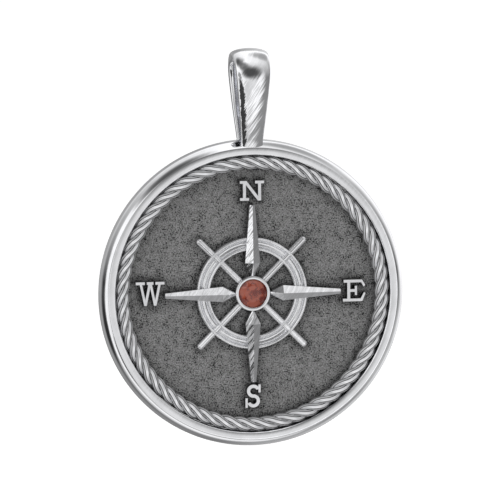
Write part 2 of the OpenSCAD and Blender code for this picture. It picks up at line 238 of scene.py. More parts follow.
def raise_surface(tree, shader, height, distance, strength):
    bump = add_node(tree, "ShaderNodeBump", {"Height": height, "Distance": distance, "Strength": strength})
    tree.links.new(bump.outputs["Normal"], shader.inputs["Normal"])


BRIGHT = (0.93, 0.934, 0.955, 1)
# Darker silver of scratches and streaks; on the raised work's streaks it is partly a faint painted
# reflection.
WORN_AND_DARK_SHEEN = (0.85, 0.854, 0.872, 1)
# Black of the patina, also used for painted shade in creases and on low walls.
BLACK_PATINA_AND_SHADE = (0.02, 0.02, 0.021, 1)


# %% Polished silver
def polished_silver(name, scratch_scale, streak_scale, streak_depth, only_outside=False):
    """Mirror silver with scratches, and streaks that wave the surface by a depth in mm."""
    made, tree, shader, place = new_material(name)
    marks = use_group(tree, scratches, {"Vector": place, "Scale": scratch_scale})
    wheel_marks = use_group(tree, streaks, {"Vector": place, "Scale": streak_scale})
    tree.links.new(mix_color(tree, marks["Streak"], WORN_AND_DARK_SHEEN, BRIGHT), shader.inputs["Base Color"])
    tree.links.new(mix_float(tree, marks["Streak"], 0.09, 0.05), shader.inputs["Roughness"])
    shader.inputs["Metallic"].default_value = 1.0
    waves = math_node(tree, "MULTIPLY", wheel_marks["Height"], streak_depth)
    if only_outside:
        outside = add_node(tree, "ShaderNodeAttribute", attribute_name="outside").outputs["Fac"]
        waves = math_node(tree, "MULTIPLY", waves, outside)
    fine_waves = math_node(tree, "MULTIPLY", marks["Height"], 0.0007)
    raise_surface(tree, shader, math_node(tree, "ADD", waves, fine_waves), MM, 1.0)
    return made


rim_silver = polished_silver("polished_silver", scratch_scale=2600.0, streak_scale=4200.0,
                             streak_depth=0.003)
bail_silver = polished_silver("streaked_silver", scratch_scale=2600.0, streak_scale=3200.0,
                              streak_depth=0.04, only_outside=True)
print("made", rim_silver.name, bail_silver.name)


# %% Relief silver
def relief_silver(name, dark_below, bright_above, streak_depth, satin, metal, creased=False):
    """Bright raised work, painted dark low on its sides and on request also in the creases: partly patina,
    partly painted shade. The heights are above the field, in mm."""
    made, tree, shader, place = new_material(name)
    y_of = add_node(tree, "ShaderNodeSeparateXYZ", {"Vector": place}).outputs["Y"]
    height = math_node(tree, "MULTIPLY_ADD", y_of, -PER_M)
    height.node.inputs[2].default_value = -FIELD_Z
    marks = use_group(tree, streaks, {"Vector": place, "Scale": 3000.0})
    # Dark low on the sides: partly patina, partly painted shade.
    dark = use_group(tree, patina_and_shade, {"Vector": place, "Depth": height, "Dark below": dark_below,
                                    "Bright above": bright_above})["Mask"]
    # Dark lines in the creases: painted shade, partly patina.
    if creased:
        crease = add_node(tree, "ShaderNodeAttribute", attribute_name="crease").outputs["Fac"]
        line = math_node(tree, "MULTIPLY", smooth_step(tree, crease, 0.1, 0.7), 0.85)
        dark = math_node(tree, "MAXIMUM", dark, line)
    # Lighter and darker streaks in the colour: polishing marks, and partly a faint painted reflection like
    # the streaks on the facets.
    silver = mix_color(tree, marks["Streak"], WORN_AND_DARK_SHEEN, BRIGHT)
    tree.links.new(mix_color(tree, dark, silver, BLACK_PATINA_AND_SHADE), shader.inputs["Base Color"])
    tree.links.new(mix_float(tree, dark, satin, 0.5), shader.inputs["Roughness"])
    shader.inputs["Metallic"].default_value = metal
    raise_surface(tree, shader, math_node(tree, "MULTIPLY", marks["Height"], streak_depth), MM, 1.0)
    return made


# Below these heights each finish is painted dark: patina and painted shade on the lower walls.
wheel_silver = relief_silver("wheel_silver", dark_below=0.0, bright_above=0.2, streak_depth=0.002,
                             satin=0.17, metal=0.8, creased=True)
needle_silver = relief_silver("needle_silver", dark_below=0.05, bright_above=0.42, streak_depth=0.045,
                              satin=0.12, metal=1.0)
letter_silver = relief_silver("letter_silver", dark_below=0.48, bright_above=0.6, streak_depth=0.004,
                              satin=0.15, metal=1.0)
print("made", wheel_silver.name, needle_silver.name, letter_silver.name)


# %% Rope silver
ROPE_R = 10.66
ROPE_Z = RELIEF_Z + 0.59


def rope_silver(name):
    """Painted bright along the crown of each strand, a painted highlight where the strand faces out of the
    medallion. Its flanks are painted grey as painted shade, with dark lines in the grooves between the
    wires,
    and the creases are black: both partly patina, partly painted shade. The depth is the distance from the
    rope's own axis, in mm."""
    made, tree, shader, place = new_material(name)
    axes = add_node(tree, "ShaderNodeSeparateXYZ", {"Vector": place}).outputs
    x = math_node(tree, "MULTIPLY", axes["X"], PER_M)
    z = math_node(tree, "MULTIPLY_ADD", axes["Z"], PER_M)
    z.node.inputs[2].default_value = DISC_DROP
    y = math_node(tree, "MULTIPLY_ADD", axes["Y"], -PER_M)
    y.node.inputs[2].default_value = -ROPE_Z
    ring = math_node(tree, "SQRT", math_node(tree, "ADD", math_node(tree, "MULTIPLY", x, x),
                                             math_node(tree, "MULTIPLY", z, z)))
    off = math_node(tree, "SUBTRACT", ring, ROPE_R)
    depth = math_node(tree, "SQRT", math_node(tree, "ADD", math_node(tree, "MULTIPLY", off, off),
                                              math_node(tree, "MULTIPLY", y, y)))
    # Black deep towards the rope's axis, in the creases: partly patina, partly painted shade.
    creases = use_group(tree, patina_and_shade, {"Vector": place, "Depth": depth, "Dark below": 0.27,
                                       "Bright above": 0.35})["Mask"]
    groove = add_node(tree, "ShaderNodeAttribute", attribute_name="groove").outputs["Fac"]
    # The crown carries a painted highlight, the flanks a painted shade.
    crown = add_node(tree, "ShaderNodeAttribute", attribute_name="crown").outputs["Fac"]
    flank = math_node(tree, "SUBTRACT", 1.0, smooth_step(tree, crown, 0.82, 0.9))
    flank_shade = math_node(tree, "MULTIPLY", flank, 0.35)
    # Dark lines in the grooves between the wires: partly patina, partly painted shade.
    lines = mix_float(tree, smooth_step(tree, groove, 0.1, 0.8), flank_shade, 0.97)
    dark = math_node(tree, "MAXIMUM", creases, lines)
    marks = use_group(tree, scratches, {"Vector": place, "Scale": 3400.0})
    silver = mix_color(tree, marks["Streak"], WORN_AND_DARK_SHEEN, BRIGHT)
    tree.links.new(mix_color(tree, dark, silver, BLACK_PATINA_AND_SHADE), shader.inputs["Base Color"])
    tree.links.new(mix_float(tree, dark, 0.32, 0.45), shader.inputs["Roughness"])
    shader.inputs["Metallic"].default_value = 0.6
    return made


strand_silver = rope_silver("strand_silver")
print("made", strand_silver.name)


# %% Oxidised field
def spread(tree, noise_value, swing):
    """Turns a noise into a factor that swings about 1."""
    return add_node(tree, "ShaderNodeMapRange",
                    {"Value": noise_value, "From Min": 0.3, "From Max": 0.7, "To Min": 1 - swing,
                     "To Max": 1 + swing}).outputs["Result"]


def oxidised_and_shaded_field(name):
    """Matte grey black with dark flecks, painted darker beside the raised work: partly patina, partly
    painted shade.
    """
    made, tree, shader, place = new_material(name)
    # Nearness of the raised work: the field is painted darker there, partly patina, partly painted shade.
    near = add_node(tree, "ShaderNodeAttribute", attribute_name="relief_patina_and_shade").outputs["Fac"]
    marks = use_group(tree, grain, {"Vector": place, "Scale": 9000.0,
                                    "Crowding": math_node(tree, "MULTIPLY", near, 0.08)})
    fleck = marks["Fleck"]
    cloudy = spread(tree, marks["Cloud"], 0.2)
    mottled = spread(tree, marks["Height"], 0.64)
    tone = math_node(tree, "MULTIPLY", cloudy, mottled)
    open_tone = math_node(tree, "MULTIPLY", tone, mix_float(tree, fleck, 0.25, 0.05))
    # Darker beside the raised work: partly patina, partly painted shade.
    dark_near_relief = mix_float(tree, math_node(tree, "MULTIPLY", near, 0.52), open_tone, 0.03)
    tree.links.new(add_node(tree, "ShaderNodeCombineColor",
                            {"Red": dark_near_relief, "Green": dark_near_relief, "Blue": dark_near_relief}).outputs[0],
                   shader.inputs["Base Color"])
    shader.inputs["Metallic"].default_value = 0.7
    tree.links.new(mix_float(tree, fleck, 0.5, 0.65), shader.inputs["Roughness"])
    raise_surface(tree, shader, marks["Height"], 0.00004, 0.6)
    return made


field_black = oxidised_and_shaded_field("oxidised_and_shaded_field")
print("made", field_black.name)


# %% Satin back
def satin_silver(name):
    """Fine lines run one way over the back, as a goldsmith's paper leaves them."""
    made, tree, shader, place = new_material(name)
    marks = use_group(tree, scratches, {"Vector": place, "Scale": 9000.0, "Stretch": (0.06, 1.0, 1.0)})
    tree.links.new(mix_color(tree, marks["Streak"], WORN_AND_DARK_SHEEN, BRIGHT), shader.inputs["Base Color"])
    tree.links.new(mix_float(tree, marks["Height"], 0.22, 0.42), shader.inputs["Roughness"])
    shader.inputs["Metallic"].default_value = 1.0
    raise_surface(tree, shader, marks["Height"], 0.000004, 0.5)
    return made


back_silver = satin_silver("satin_back")
print("made", back_silver.name)


# %% Red stone
DARK_RED = (0.2, 0.018, 0.008, 1)
CLEAR_RED = (0.45, 0.105, 0.06, 1)


def garnet(name):
    """A clear red-brown stone with darker clouds inside."""
    made, tree, shader, place = new_material(name)
    clouds = add_node(tree, "ShaderNodeTexNoise", {"Vector": place, "Scale": 1500.0, "Detail": 2.0,
                                                   "Roughness": 0.5}).outputs["Fac"]
    tree.links.new(mix_color(tree, smooth_step(tree, clouds, 0.36, 0.56), DARK_RED, CLEAR_RED),
                   shader.inputs["Base Color"])
    tree.links.new(mix_float(tree, clouds, 0.02, 0.08), shader.inputs["Roughness"])
    shader.inputs["IOR"].default_value = 1.76
    shader.inputs["Transmission Weight"].default_value = 0.45
    return made


stone_red = garnet("garnet")
print("made", stone_red.name)

# %% [markdown]
# ## The rim
# The real rim is turned or cast round: a flat face, a bulging outer side and a tiny chamfer inside.
# A lathe in Blender is a profile and the spin operator. The bulge itself is spun too, from one vertex
# about the middle of its arc. A beveled torus would be quicker but has no flat face.

# %% Lathe helpers
def profile_edge(bm, a, b):
    return bm.edges.new((a, b))


def spin_corner(bm, vertex, centre, angle, steps):
    """Sweeps one vertex of a profile round a centre, and gives the last vertex of the arc."""
    made = bmesh.ops.spin(bm, geom=[vertex], cent=centre, axis=(0, 1, 0), dvec=(0, 0, 0), angle=angle,
                          steps=steps, use_merge=False)
    return [g for g in made["geom_last"] if isinstance(g, bmesh.types.BMVert)][0]


def profile_path(bm, start, points, close_to=None):
    """Joins a vertex to more points, each given as radius and height."""
    last = start
    for r, z in points:
        fresh = bm.verts.new((r, 0, z))
        profile_edge(bm, last, fresh)
        last = fresh
    if close_to is not None:
        profile_edge(bm, last, close_to)
    return last


def spin_profile(bm, steps, slices=1):
    """Turns the profile once round and points its faces outwards. A fine spin goes faster in slices:
    one is spun, and its copies complete the round."""
    bmesh.ops.spin(bm, geom=bm.verts[:] + bm.edges[:], cent=(0, 0, 0), axis=(0, 0, 1), dvec=(0, 0, 0),
                   angle=2 * math.pi / slices, steps=steps // slices, use_merge=slices == 1)
    one = bm.verts[:] + bm.edges[:] + bm.faces[:]
    for i in range(1, slices):
        fresh = bmesh.ops.duplicate(bm, geom=one)["geom"]
        bmesh.ops.rotate(bm, verts=[g for g in fresh if isinstance(g, bmesh.types.BMVert)], cent=(0, 0, 0),
                         matrix=Matrix.Rotation(2 * math.pi * i / slices, 3, "Z"))
    bmesh.ops.remove_doubles(bm, verts=bm.verts, dist=0.0005)
    bmesh.ops.recalc_face_normals(bm, faces=bm.faces)


def soften(bm, width, segments=2, angle=25):
    """Bevels every edge that is sharper than the angle, as polishing does."""
    sharp = [e for e in bm.edges if len(e.link_faces) == 2
             and e.calc_face_angle(0) > math.radians(angle)]
    bmesh.ops.bevel(bm, geom=sharp, offset=width, offset_type="OFFSET", segments=segments, profile=0.5,
                    affect="EDGES", material=-1, clamp_overlap=True)


# %% Rim
RIM_INNER_R = 11.27
RIM_FLAT_R = 11.87
CHAMFER = 0.07
BULGE = DISC_R - RIM_FLAT_R
BULGE_R = (FACE_Z ** 2 + BULGE ** 2) / (2 * BULGE)
bulge_centre = (DISC_R - BULGE_R, 0, 0)
rim = bmesh.new()
flat_edge = rim.verts.new((RIM_FLAT_R, 0, FACE_Z))
bulge_end = spin_corner(rim, flat_edge, bulge_centre, 2 * math.asin(FACE_Z / BULGE_R), 28)
profile_path(rim, bulge_end, [(RIM_INNER_R, -FACE_Z), (RIM_INNER_R, FACE_Z - CHAMFER),
                              (RIM_INNER_R + CHAMFER, FACE_Z)], close_to=flat_edge)
spin_profile(rim, 288)
soften(rim, 0.018)
piece("polished_rim", rim, rim_silver, ["rim"], sharp=60)

# %% [markdown]
# ## The field and the back
# The field is a plain sheet, but it carries the stippled skin of the casting, and beside the raised work
# it is
# painted darker: partly the bath's patina, partly painted shade. So its disc gets many small faces: they
# are moved a little by a noise, and each remembers how close the nearest raised piece is.

# %% Nearness of the raised work, for the painted shade and patina beside it
def near_raised_work():
    """A search tree over all the pieces that stand on the field."""
    corners, faces = [], []
    for name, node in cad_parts.items():
        if name in ("rim", "back_plate", "bail"):
            continue
        start = len(corners)
        corners.extend(v.co / MM for v in node.data.vertices)
        faces.extend([start + i for i in p.vertices] for p in node.data.polygons)
    return BVHTree.FromPolygons(corners, faces)


raised = near_raised_work()
print("raised work is searched through", "ready" if raised else "empty")

# %% Seat of the stone
STONE_R, PAVILION_H, STONE_SINK, GAP = 1.25, 0.95, 0.42, 0.02
girdle_z = RELIEF_Z + GAP + PAVILION_H - STONE_SINK
pavilion_slope = PAVILION_H / STONE_R
seat_tip_z = girdle_z - GAP - (STONE_R + GAP) * pavilion_slope
print("the stone's seat reaches", round(FIELD_Z - seat_tip_z, 2), "mm below the field")

# %% Field plate
PLATE_R = 11.25
plate = bmesh.new()
pit_edge = plate.verts.new(((FIELD_Z - seat_tip_z) / pavilion_slope, 0, FIELD_Z))
edge_top = plate.verts.new((PLATE_R, 0, FIELD_Z))
field_line = profile_edge(plate, pit_edge, edge_top)
profile_path(plate, pit_edge, [(0, seat_tip_z)])
profile_path(plate, edge_top, [(PLATE_R, -FACE_Z), (0, -FACE_Z)])
bmesh.ops.subdivide_edges(plate, edges=[field_line], cuts=98)
spin_profile(plate, 440, slices=20)
for v in plate.verts:
    if v.co.z > FIELD_Z - 0.001 and v.co.xy.length < PLATE_R - 0.05:
        v.co.z += 0.012 * noise.noise(v.co * 4.5) + 0.006 * noise.noise(v.co * 9.0)
field = piece("field_plate", plate, field_black, ["back_plate"])
field.data.materials.append(back_silver)
# How near the raised work is, kept for the painted shade and patina beside it.
relief_patina_and_shade = field.data.attributes.new("relief_patina_and_shade", "FLOAT", "POINT")
for v in field.data.vertices:
    near = raised.find_nearest(v.co / MM)[3]
    relief_patina_and_shade.data[v.index].value = math.exp(-(max(0.0, near - 0.03) / 0.42) ** 1.4)
for face in field.data.polygons:
    face.material_index = 1 if face.center.y > 0 else 0
print("field and back share", len(field.data.vertices), "vertices")

# %% [markdown]
# ## The rope border
# Rope is three strands that wind round each other, and each strand shows its wires as fine grooves.
# The section of a strand is a circle with notches. It travels round the rope's axis without turning, so
# its notches stay where they are and its polished crown, which carries a painted highlight, stays on top.
# One turn of straight rope is extruded, copied along its length and then laid round the medallion. A curve
# with a bevel could make the strands too, but its notches would turn away from the top.

# %% One turn of straight rope
ROPE_TURNS = 20
STRAND_R = 0.29
STRAND_ORBIT = 0.3
ROPE_LENGTH = 2 * math.pi * ROPE_R
LAY = ROPE_LENGTH / ROPE_TURNS
LAY_ANGLE = math.atan(2 * math.pi * STRAND_ORBIT / LAY)
TURN_STEPS = 24
SIDES = 60
CROWN_HALF, WIRE_STEP = 5, 7
NOTCH_DEPTH = 0.06
CROWN_FROM, CROWN_FLATTENING = 0.89, 0.5


def strand_place(k, step):
    """Moves a section to its place on a strand, square to the way that the strand runs there."""
    way = math.radians(60 + 120 * k) + 2 * math.pi * step / TURN_STEPS
    outward = Vector((math.cos(way), math.sin(way), 0))
    return (Matrix.Translation(outward * STRAND_ORBIT + Vector((0, 0, LAY * step / TURN_STEPS)))
            @ Matrix.Rotation(-LAY_ANGLE, 4, outward))


def notch(steps_from_top):
    """1 in the groove between two wires, 0.5 beside it and else 0. The polished crown has no groove."""
    nearest = CROWN_HALF + WIRE_STEP * max(0, round((steps_from_top - CROWN_HALF) / WIRE_STEP))
    return max(0.0, 1 - 0.5 * abs(steps_from_top - nearest))


def grow(bm, loop):
    """Extrudes a loop of edges, and gives the new vertices and the new loop."""
    grown = bmesh.ops.extrude_edge_only(bm, edges=loop)["geom"]
    moved = [g for g in grown if isinstance(g, bmesh.types.BMVert)]
    edges = [g for g in grown if isinstance(g, bmesh.types.BMEdge)]
    return moved, [e for e in edges if all(v in moved for v in e.verts)]


rope = bmesh.new()
groove = rope.verts.layers.float.new("groove")
crown = rope.verts.layers.float.new("crown")
for k in range(3):
    section = bmesh.ops.create_circle(rope, cap_ends=False, radius=STRAND_R, segments=SIDES)["verts"]
    for v in section:
        from_top = math.atan2(v.co.x, v.co.y)
        v[groove] = notch(round(abs(from_top) * SIDES / (2 * math.pi)))
        # How much the point faces out of the medallion: it places the painted highlight on the crown.
        v[crown] = math.cos(from_top)
        v.co *= 1 - NOTCH_DEPTH * v[groove] ** 3
        v.co.y -= CROWN_FLATTENING * max(0.0, v.co.y - CROWN_FROM * STRAND_R)
    loop = list({e for v in section for e in v.link_edges})
    bmesh.ops.transform(rope, matrix=strand_place(k, 0), verts=section)
    for step in range(TURN_STEPS):
        moved, loop = grow(rope, loop)
        onward = strand_place(k, step + 1) @ strand_place(k, step).inverted()
        bmesh.ops.transform(rope, matrix=onward, verts=moved)
one_turn = rope.verts[:] + rope.edges[:] + rope.faces[:]
for i in range(1, ROPE_TURNS):
    fresh = bmesh.ops.duplicate(rope, geom=one_turn)["geom"]
    copied = [g for g in fresh if isinstance(g, bmesh.types.BMVert)]
    bmesh.ops.translate(rope, verts=copied, vec=(0, 0, i * LAY))
print("straight rope is", round(ROPE_LENGTH, 1), "mm long with", len(rope.faces), "faces")

# %% Lay the rope round
for v in rope.verts:
    way = v.co.z / ROPE_R
    reach = ROPE_R + v.co.x
    v.co = (reach * math.sin(way), reach * math.cos(way), ROPE_Z + v.co.y)
bmesh.ops.remove_doubles(rope, verts=rope.verts, dist=0.002)
bmesh.ops.recalc_face_normals(rope, faces=rope.faces)
piece("rope_strands", rope, strand_silver, ["rope_border"], sharp=80)

# %% [markdown]
# ## The ship's wheel
# The wheel is a ring with a hollow channel between two lips, and round spokes that pass under the lips.
# Its profile is three arcs in a row, each spun from the end of the last one.

# %% Wheel ring
WHEEL_R, WHEEL_W, WHEEL_H = 4.54, 1.05, 0.6
LIP_W, CHANNEL_DEPTH = 0.23, 0.26
HOLE_R = WHEEL_R - WHEEL_W
lip_z = RELIEF_Z + WHEEL_H - LIP_W / 2
channel_w = WHEEL_W - 2 * LIP_W
channel_r = (CHANNEL_DEPTH ** 2 + channel_w ** 2 / 4) / (2 * CHANNEL_DEPTH)
channel_centre_z = lip_z - CHANNEL_DEPTH + channel_r
wheel = bmesh.new()
crease = wheel.verts.layers.float.new("crease")
outer_top = wheel.verts.new((WHEEL_R, 0, lip_z))
outer_crease = spin_corner(wheel, outer_top, (WHEEL_R - LIP_W / 2, 0, lip_z), -math.pi, 8)
half_channel = math.atan2(channel_w / 2, channel_centre_z - lip_z)
channel_centre = (WHEEL_R - WHEEL_W / 2, 0, channel_centre_z)
inner_crease = spin_corner(wheel, outer_crease, channel_centre, 2 * half_channel, 12)
inner_top = spin_corner(wheel, inner_crease, (HOLE_R + LIP_W / 2, 0, lip_z), -math.pi, 8)
profile_path(wheel, inner_top, [(HOLE_R, RELIEF_Z), (WHEEL_R, RELIEF_Z)], close_to=outer_top)
# These creases between lips and channel get dark lines: painted shade, partly patina.
outer_crease[crease] = inner_crease[crease] = 1.0
spin_profile(wheel, 192)
print("ring profile turned,", len(wheel.faces), "faces")

# %% Spokes
SPOKE_R, SPOKE_BELOW_LIP, HANDLE = 0.285, 0.09, 1.74
END_ROUNDING = 0.95
BEZEL_R = 1.42
spoke_start = BEZEL_R + 0.02
spoke_end = WHEEL_R + HANDLE
spoke_z = RELIEF_Z + WHEEL_H - SPOKE_BELOW_LIP - SPOKE_R
for i in range(4):
    rod = bmesh.ops.create_cone(wheel, cap_ends=True, segments=28, radius1=SPOKE_R, radius2=SPOKE_R,
                                depth=spoke_end - spoke_start)["verts"]
    cap = {e for v in rod for e in v.link_edges if v.co.z < 0 and e.calc_face_angle(0) > 1}
    rounded = bmesh.ops.bevel(wheel, geom=list(cap), offset=END_ROUNDING * SPOKE_R, offset_type="OFFSET",
                              segments=7, profile=0.5, affect="EDGES", material=-1, clamp_overlap=True)
    rod = list({v for v in rod if v.is_valid} | {v for f in rounded["faces"] for v in f.verts})
    bmesh.ops.rotate(wheel, verts=rod, cent=(0, 0, 0), matrix=Matrix.Rotation(math.radians(90), 3, "X"))
    bmesh.ops.translate(wheel, verts=rod, vec=(0, (spoke_start + spoke_end) / 2, spoke_z))
    turned = Matrix.Rotation(math.radians(45 + 90 * i), 3, "Z")
    bmesh.ops.rotate(wheel, verts=rod, cent=(0, 0, 0), matrix=turned)
for v in wheel.verts:
    v.co.z = max(v.co.z, RELIEF_Z)
piece("wheel_ring_and_spokes", wheel, wheel_silver, ["ships_wheel"], sharp=50)


# %% [markdown]
# ## Needles and letters
# These are crisp carved shapes, and the frame already has them right. What they lack is the soft edge
# that catches the light, so each is a copy of its solid: its loose triangles are merged, flat
# faces are joined and the edges get a small bevel.

# %% Softened copies
def softened_copy(name, node, material, width, segments=2, angle=12):
    bm = bmesh.new()
    bm.from_mesh(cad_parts[node].data)
    bmesh.ops.scale(bm, vec=(1 / MM, 1 / MM, 1 / MM), verts=bm.verts)
    bmesh.ops.remove_doubles(bm, verts=bm.verts, dist=0.0005)
    bmesh.ops.dissolve_limit(bm, angle_limit=math.radians(1), verts=bm.verts, edges=bm.edges)
    soften(bm, width, segments, angle)
    bmesh.ops.recalc_face_normals(bm, faces=bm.faces)
    return piece(name, bm, material, [node], place=Matrix.Scale(MM, 4), sharp=5)


for way in ("north", "east", "south", "west"):
    softened_copy("needle_" + way + "_polished", "needle_" + way, needle_silver, 0.035)
for letter in "nesw":
    softened_copy("letter_" + letter + "_polished", "letter_" + letter, letter_silver, 0.025, angle=30)

# %% [markdown]
# ## Bezel and stone
# The bezel is a thin cup whose lip is pushed over the stone's edge, and it is turned like the rim.
# The stone keeps its solid, because its facets are cut flat and sharp. It only needs a finish that lets
# light in.

# %% Bezel
LIP_IN, LIP_T, GIRDLE_T, CROWN_H = 0.1, 0.14, 0.05, 0.33
crown_slope = CROWN_H / (STONE_R * (1 - 0.56))
star_slope = (1 - 0.8 * math.cos(math.radians(22.5))) * crown_slope / 0.2
under_lip = girdle_z + GIRDLE_T + GAP + LIP_IN * star_slope
lip_top = under_lip + LIP_T
seat_r = (RELIEF_Z - seat_tip_z) / pavilion_slope
bezel = bmesh.new()
foot = bezel.verts.new((BEZEL_R, 0, RELIEF_Z))
profile_path(bezel, foot, [(BEZEL_R, lip_top), (STONE_R - LIP_IN, lip_top), (STONE_R - LIP_IN, under_lip),
                           (STONE_R + GAP, girdle_z + GIRDLE_T + GAP), (STONE_R + GAP, girdle_z - GAP),
                           (seat_r, RELIEF_Z)], close_to=foot)
spin_profile(bezel, 128)
top_edges = [e for e in bezel.edges if all(v.co.z > lip_top - 0.001 for v in e.verts)
             and e.calc_face_angle(0) > 0.5]
bmesh.ops.bevel(bezel, geom=top_edges, offset=0.065, offset_type="OFFSET", segments=4, profile=0.5,
                affect="EDGES", material=-1, clamp_overlap=True)
piece("bezel_cup", bezel, rim_silver, ["bezel"], sharp=50)

# %% Stone
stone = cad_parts["stone"]
stone.data.materials.clear()
stone.data.materials.append(stone_red)
print("stone keeps its", len(stone.data.polygons), "triangles")

# %% [markdown]
# ## The bail
# The bail is a strap with a domed outside that tapers down to its two feet. Its section is extruded
# step by step along the loop, and each step is moved, turned and sized by one matrix. A curve with a
# bevel object would twist at the top, and its section could not taper and stay flat inside.

# %% Bail path
BAIL_H, BAIL_TOP_W, BAIL_FOOT_W, BAIL_T = 7.4, 3.2, 1.78, 0.85
BAIL_INNER_R, BAIL_FOOT_GAP = 1.65, 1.8
LEG_H = BAIL_H - BAIL_T - BAIL_INNER_R
FOOT_DROP = BULGE + 2 * GAP
DISC_TOP = -(BAIL_H - BAIL_T)
BEND_SHARE = 0.45


def loop_point(t):
    """Depth and height of the strap's inner face. t is -1 at the front foot, 0 at the top and 1 at the
    back foot."""
    side = 1 if t > 0 else -1
    if abs(t) < BEND_SHARE:
        a = math.radians(90 - 90 * t / BEND_SHARE)
        return Vector((BAIL_INNER_R * math.cos(a), LEG_H + BAIL_INNER_R * math.sin(a)))
    down = (abs(t) - BEND_SHARE) / (1 - BEND_SHARE)
    up = LEG_H - down * (LEG_H + FOOT_DROP)
    inner = BAIL_FOOT_GAP / 2
    climb = math.pi / 2 * up / LEG_H
    curve = math.sin(climb) if up > 0 else climb
    return Vector((side * (inner + (BAIL_INNER_R - inner) * curve), up))


def strap_frame(t):
    """Where the section sits at t: its width runs along X, its thickness outwards from the loop."""
    here = loop_point(t)
    ahead = (loop_point(min(1, t + 0.002)) - loop_point(max(-1, t - 0.002))).normalized()
    out = Vector((-ahead.y, ahead.x))
    if out.dot(here - Vector((0, LEG_H / 2))) < 0:
        out = -out
    width = BAIL_FOOT_W + (BAIL_TOP_W - BAIL_FOOT_W) * max(0, here.y) / BAIL_H
    thick = BAIL_T * width / BAIL_TOP_W
    across, outward = Vector((width, 0, 0)), Vector((0, out.x, out.y)) * thick
    along = Vector((0, ahead.x, ahead.y))
    frame_at = Matrix((across, outward, along)).transposed().to_4x4()
    frame_at.translation = (0, here.x, here.y + DISC_TOP)
    return frame_at


print("bail loop rises", LEG_H + BAIL_INNER_R, "mm above the medallion inside")

# %% Bail strap
STRAP_STEPS = 120
strap = bmesh.new()
WALL_SHARE, FLAT_SHARE = 0.42, 0.72
# The streaks are weaker on the bend than on the legs, and change over a height below the chain.
TOP_STREAKS, STREAKS_FADE_Z, STREAKS_FADE_H = 0.4, -1.0, 1.5
outside = strap.verts.layers.float.new("outside")
section = bmesh.ops.create_circle(strap, cap_ends=False, radius=0.5, segments=72)["verts"]
for v in section:
    across, up = v.co.x * 2, v.co.y * 2
    v[outside] = min(1.0, max(0.0, up * 5))
    if up > -0.001:
        v.co.y = WALL_SHARE + (1 - WALL_SHARE) * up
    else:
        corner = math.copysign(max(0.0, abs(across) - FLAT_SHARE) / (1 - FLAT_SHARE), across)
        v.co.y = WALL_SHARE * (1 - math.sqrt(1 - corner * corner))
loop = list({e for v in section for e in v.link_edges})
stations = [strap_frame(-1 + 2 * i / STRAP_STEPS) for i in range(STRAP_STEPS + 1)]
bmesh.ops.transform(strap, matrix=stations[0], verts=section)
first_loop = loop
for before, after in zip(stations, stations[1:]):
    moved, loop = grow(strap, loop)
    bmesh.ops.transform(strap, matrix=after @ before.inverted(), verts=moved)
for v in strap.verts:
    below_top = (STREAKS_FADE_Z - v.co.z) / STREAKS_FADE_H
    v[outside] *= min(1.0, max(TOP_STREAKS, TOP_STREAKS + (1 - TOP_STREAKS) * below_top))
bmesh.ops.edgeloop_fill(strap, edges=first_loop)
bmesh.ops.edgeloop_fill(strap, edges=loop)
bmesh.ops.recalc_face_normals(strap, faces=strap.faces)
piece("bail_strap", strap, bail_silver, ["bail"], place=Matrix.Scale(MM, 4), sharp=50)

# %% [markdown]
# ## Stage, light and camera
# Polished metal shows its surroundings more than itself, so the studio is built like a jeweller's light
# tent: four walls with white boxes and black flags, and a few cards in front. They draw the lines along
# the rim and the dark spot on the bail. The floor is far below, because the pendant hangs. The camera
# looks slightly from the left and from above with a long lens.

# %% Floor
FLOOR_SIZE, FLOOR_DROP = 20, 0.16
floor_mesh = bmesh.new()
bmesh.ops.create_grid(floor_mesh, x_segments=1, y_segments=1, size=FLOOR_SIZE)
bmesh.ops.translate(floor_mesh, verts=floor_mesh.verts, vec=(0, 0, -FLOOR_DROP))
floor_data = bpy.data.meshes.new("floor")
floor_mesh.to_mesh(floor_data)
floor_mesh.free()
floor = bpy.data.objects.new("floor", floor_data)
bpy.context.scene.collection.objects.link(floor)
pale, _, pale_shader, _ = new_material("pale_floor")
pale_shader.inputs["Base Color"].default_value = (0.9, 0.9, 0.9, 1)
pale_shader.inputs["Roughness"].default_value = 0.9
pale_shader.inputs["Emission Color"].default_value = (1, 1, 1, 1)
pale_shader.inputs["Emission Strength"].default_value = 0.5
floor_data.materials.append(pale)
floor.visible_glossy = False
print("floor is", round(FLOOR_DROP / MM - DISC_DROP - DISC_R), "mm below the medallion")

# %% Studio surroundings
world = bpy.data.worlds.new("studio")
bpy.context.scene.world = world
world.use_nodes = True
sky = world.node_tree
background = sky.nodes["Background"]
toward = sky.nodes.new("ShaderNodeTexCoord").outputs["Generated"]
part = add_node(sky, "ShaderNodeSeparateXYZ", {"Vector": toward}).outputs
depth_share = math_node(sky, "MULTIPLY_ADD", part["Y"], 0.5)
depth_share.node.inputs[2].default_value = 0.5
FRONT_TONE = 1.05


def wall_tones(stops):
    """Tones of one wall of the studio, from straight in front of the pendant (-1) to behind it (1)."""
    ramp = add_node(sky, "ShaderNodeValToRGB", {"Fac": depth_share})
    colors = ramp.color_ramp.elements
    while len(colors) < len(stops):
        colors.new(1.0)
    for element, (depth, tone) in zip(colors, stops):
        element.position = (depth + 1) / 2
        element.color = (tone, tone, tone, 1)
    return ramp.outputs["Color"]


